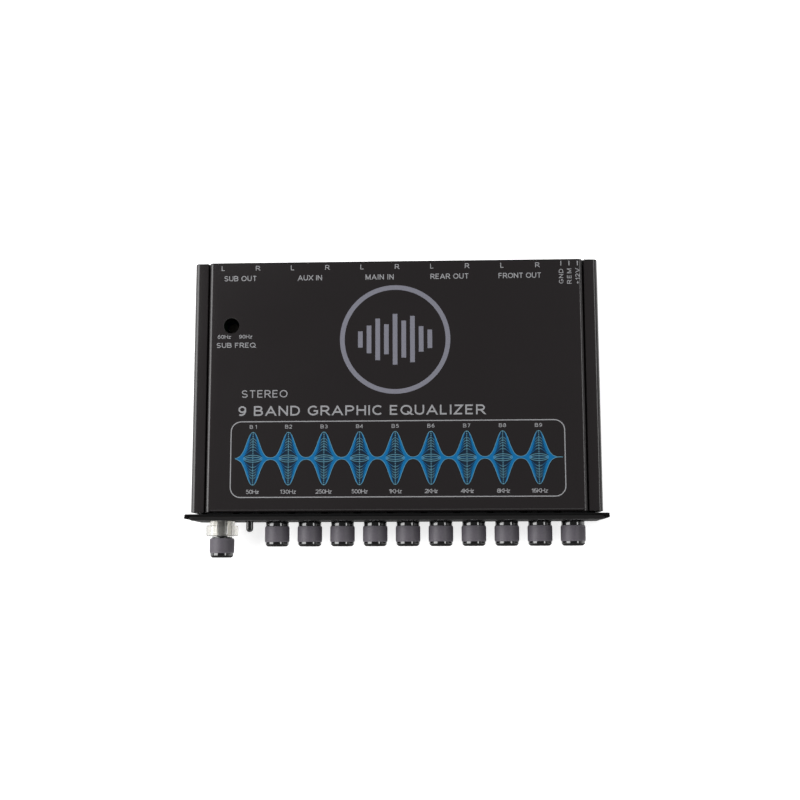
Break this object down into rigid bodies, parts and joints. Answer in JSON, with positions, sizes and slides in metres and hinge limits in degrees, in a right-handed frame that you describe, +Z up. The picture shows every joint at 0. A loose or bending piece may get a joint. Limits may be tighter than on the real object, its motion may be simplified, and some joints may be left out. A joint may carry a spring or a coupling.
{
  "type": "graphic equalizer",
  "caption": "Slim car audio equalizer: folded steel case, front row of rotary controls, lit volume ring, input selector, rear phono jacks and power socket.",
  "frame": {"origin": "middle of the bounding footprint, on the underside that the equalizer rests on", "axes": "+X to the right seen from above with the knobs towards the viewer, +Y to the rear jacks, +Z up"},
  "size_m": [0.178, 0.1262, 0.025],
  "materials": {
    "case_paint": "satin powder coat",
    "plate_paint": "satin black",
    "gloss_black": "gloss",
    "knob_plastic": "fine knurled, soft matte",
    "clear_plastic": "clear moulded acrylic",
    "lamp_resin": "tinted lamp resin",
    "board_laminate": "solder mask",
    "black_plastic": "moulded",
    "jack_plastic": "moulded",
    "plated_steel": "zinc plated",
    "trimmer_blue": "moulded",
    "rotor_cream": "moulded",
    "can_sleeve": "shrunk sleeve",
    "choke_ferrite": "sintered"
  },
  "bodies": {
    "chassis": {"bottom_tray": "case_paint", "top_cover": "case_paint", "rear_panel": "case_paint", "front_plate": "plate_paint", "front_bezel": "gloss_black", "volume_light_ring": "clear_plastic", "ring_lamp": "lamp_resin", "main_board": "board_laminate", "volume_pot": "black_plastic", "sub_level_pot": "black_plastic", "band_1_pot": "black_plastic", "band_2_pot": "black_plastic", "band_3_pot": "black_plastic", "band_4_pot": "black_plastic", "band_5_pot": "black_plastic", "band_6_pot": "black_plastic", "band_7_pot": "black_plastic", "band_8_pot": "black_plastic", "band_9_pot": "black_plastic", "sub_out_jacks": "jack_plastic", "aux_in_jacks": "jack_plastic", "main_in_jacks": "jack_plastic", "rear_out_jacks": "jack_plastic", "front_out_jacks": "jack_plastic", "power_socket": "black_plastic", "selector_switch": "plated_steel", "sub_freq_trimmer": "trimmer_blue", "filter_capacitor": "can_sleeve", "supply_choke": "choke_ferrite", "voltage_regulator": "black_plastic", "base_screw_front_left": "plated_steel", "base_screw_front_right": "plated_steel", "base_screw_rear_left": "plated_steel", "base_screw_rear_right": "plated_steel", "cover_screw_left": "plated_steel", "cover_screw_right": "plated_steel"},
    "volume_control": {"volume_shaft": "plated_steel", "volume_knob": "knob_plastic"},
    "sub_level_control": {"sub_level_shaft": "plated_steel", "sub_level_knob": "knob_plastic"},
    "band_1_control": {"band_1_shaft": "plated_steel", "band_1_knob": "knob_plastic"},
    "band_2_control": {"band_2_shaft": "plated_steel", "band_2_knob": "knob_plastic"},
    "band_3_control": {"band_3_shaft": "plated_steel", "band_3_knob": "knob_plastic"},
    "band_4_control": {"band_4_shaft": "plated_steel", "band_4_knob": "knob_plastic"},
    "band_5_control": {"band_5_shaft": "plated_steel", "band_5_knob": "knob_plastic"},
    "band_6_control": {"band_6_shaft": "plated_steel", "band_6_knob": "knob_plastic"},
    "band_7_control": {"band_7_shaft": "plated_steel", "band_7_knob": "knob_plastic"},
    "band_8_control": {"band_8_shaft": "plated_steel", "band_8_knob": "knob_plastic"},
    "band_9_control": {"band_9_shaft": "plated_steel", "band_9_knob": "knob_plastic"},
    "selector": {"selector_lever": "black_plastic"},
    "sub_freq_adjuster": {"sub_freq_rotor": "rotor_cream"}
  },
  "joints": [
    {"name": "volume_turn", "type": "hinge", "parent": "chassis", "child": "volume_control", "pos_m": [-0.07485, -0.04765, 0.0125], "axis": [0, 1, 0], "range_deg": [-150, 150]},
    {"name": "sub_level_turn", "type": "hinge", "parent": "chassis", "child": "sub_level_control", "pos_m": [-0.05115, -0.04765, 0.0125], "axis": [0, 1, 0], "range_deg": [-150, 150]},
    {"name": "band_1_turn", "type": "hinge", "parent": "chassis", "child": "band_1_control", "pos_m": [-0.03715, -0.04765, 0.0125], "axis": [0, 1, 0], "range_deg": [-150, 150]},
    {"name": "band_2_turn", "type": "hinge", "parent": "chassis", "child": "band_2_control", "pos_m": [-0.02315, -0.04765, 0.0125], "axis": [0, 1, 0], "range_deg": [-150, 150]},
    {"name": "band_3_turn", "type": "hinge", "parent": "chassis", "child": "band_3_control", "pos_m": [-0.00915, -0.04765, 0.0125], "axis": [0, 1, 0], "range_deg": [-150, 150]},
    {"name": "band_4_turn", "type": "hinge", "parent": "chassis", "child": "band_4_control", "pos_m": [0.00485, -0.04765, 0.0125], "axis": [0, 1, 0], "range_deg": [-150, 150]},
    {"name": "band_5_turn", "type": "hinge", "parent": "chassis", "child": "band_5_control", "pos_m": [0.01885, -0.04765, 0.0125], "axis": [0, 1, 0], "range_deg": [-150, 150]},
    {"name": "band_6_turn", "type": "hinge", "parent": "chassis", "child": "band_6_control", "pos_m": [0.03285, -0.04765, 0.0125], "axis": [0, 1, 0], "range_deg": [-150, 150]},
    {"name": "band_7_turn", "type": "hinge", "parent": "chassis", "child": "band_7_control", "pos_m": [0.04685, -0.04765, 0.0125], "axis": [0, 1, 0], "range_deg": [-150, 150]},
    {"name": "band_8_turn", "type": "hinge", "parent": "chassis", "child": "band_8_control", "pos_m": [0.06085, -0.04765, 0.0125], "axis": [0, 1, 0], "range_deg": [-150, 150]},
    {"name": "band_9_turn", "type": "hinge", "parent": "chassis", "child": "band_9_control", "pos_m": [0.07485, -0.04765, 0.0125], "axis": [0, 1, 0], "range_deg": [-150, 150]},
    {"name": "selector_slide", "type": "slide", "parent": "chassis", "child": "selector", "axis": [0, 0, 1], "range_m": [0, 0.003]},
    {"name": "sub_freq_turn", "type": "hinge", "parent": "chassis", "child": "sub_freq_adjuster", "pos_m": [-0.0702, 0.03545, 0.017], "axis": [0, 0, 1], "range_deg": [-135, 135]}
  ]
}
